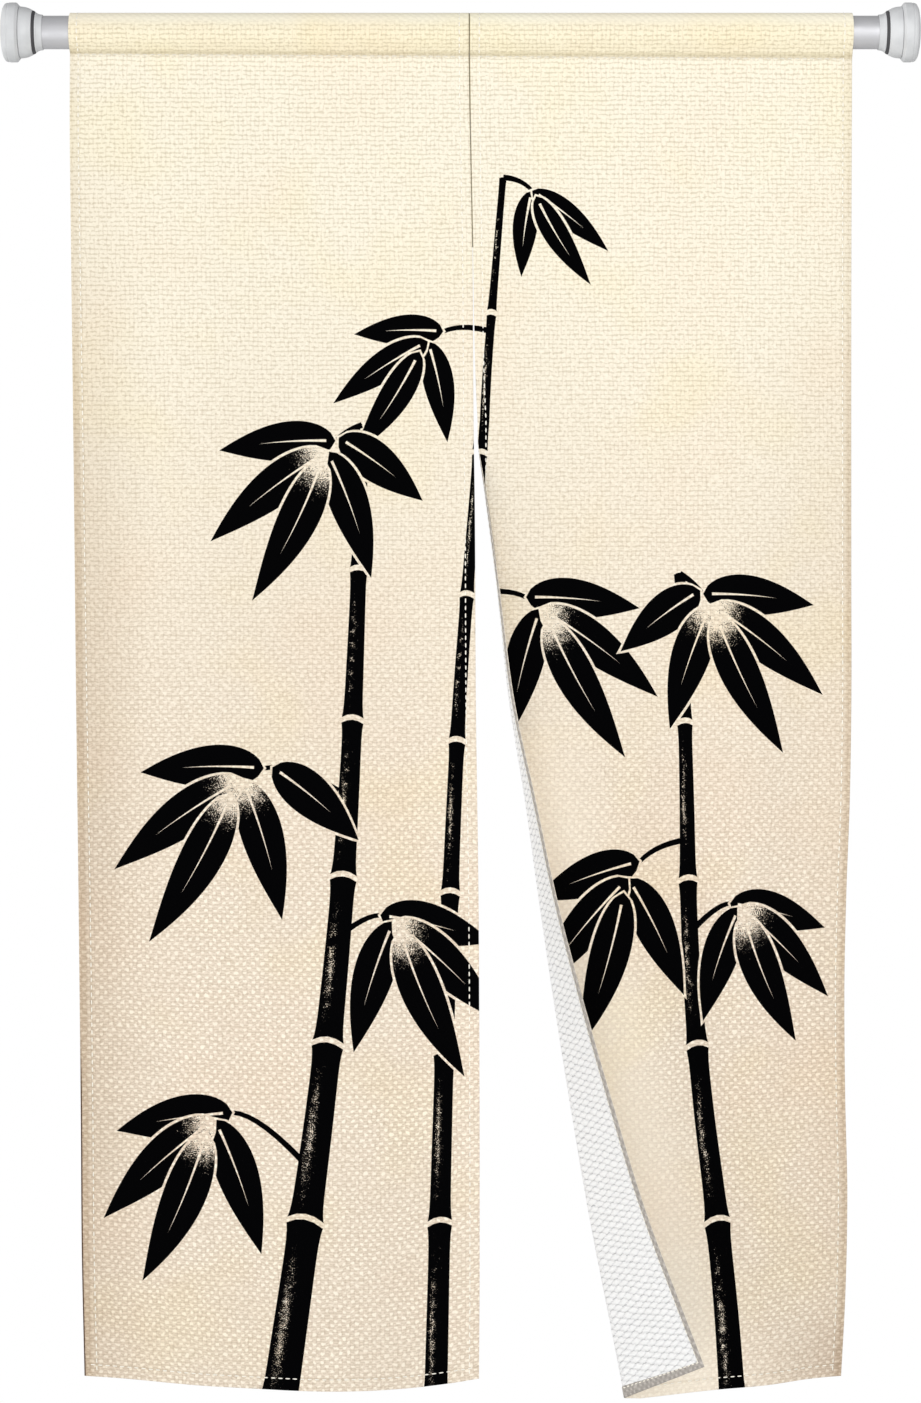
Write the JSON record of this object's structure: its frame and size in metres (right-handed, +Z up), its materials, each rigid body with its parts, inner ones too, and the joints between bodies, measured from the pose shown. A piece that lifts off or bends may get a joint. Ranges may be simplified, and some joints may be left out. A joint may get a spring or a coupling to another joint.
{
  "type": "split doorway curtain on a tension rod",
  "caption": "Slit cloth doorway curtain hung by a sewn rod pocket from a tension rod with round end pads, the inner margin of one panel folded forward.",
  "frame": {"origin": "centre of the left end pad's outer face, on the rod's axis", "axes": "+X along the rod to the right end, +Z up, and the printed front of the cloth faces -Y"},
  "size_m": [0.9964, 0.2176, 1.5116],
  "materials": {
    "cloth": "matte plain weave, cream printed face and white back",
    "rod_paint": "light grey satin paint",
    "cap_plastic": "grey moulded plastic",
    "ring_rubber": "dark matte"
  },
  "bodies": {
    "root": {"panel_left": "cloth", "panel_right": "cloth", "rod_tube": "rod_paint", "left_foot": "cap_plastic", "left_cap_body": "cap_plastic", "left_ring": "ring_rubber", "left_collar": "cap_plastic", "right_foot": "cap_plastic", "right_cap_body": "cap_plastic", "right_ring": "ring_rubber", "right_collar": "cap_plastic"}
  },
  "joints": []
}
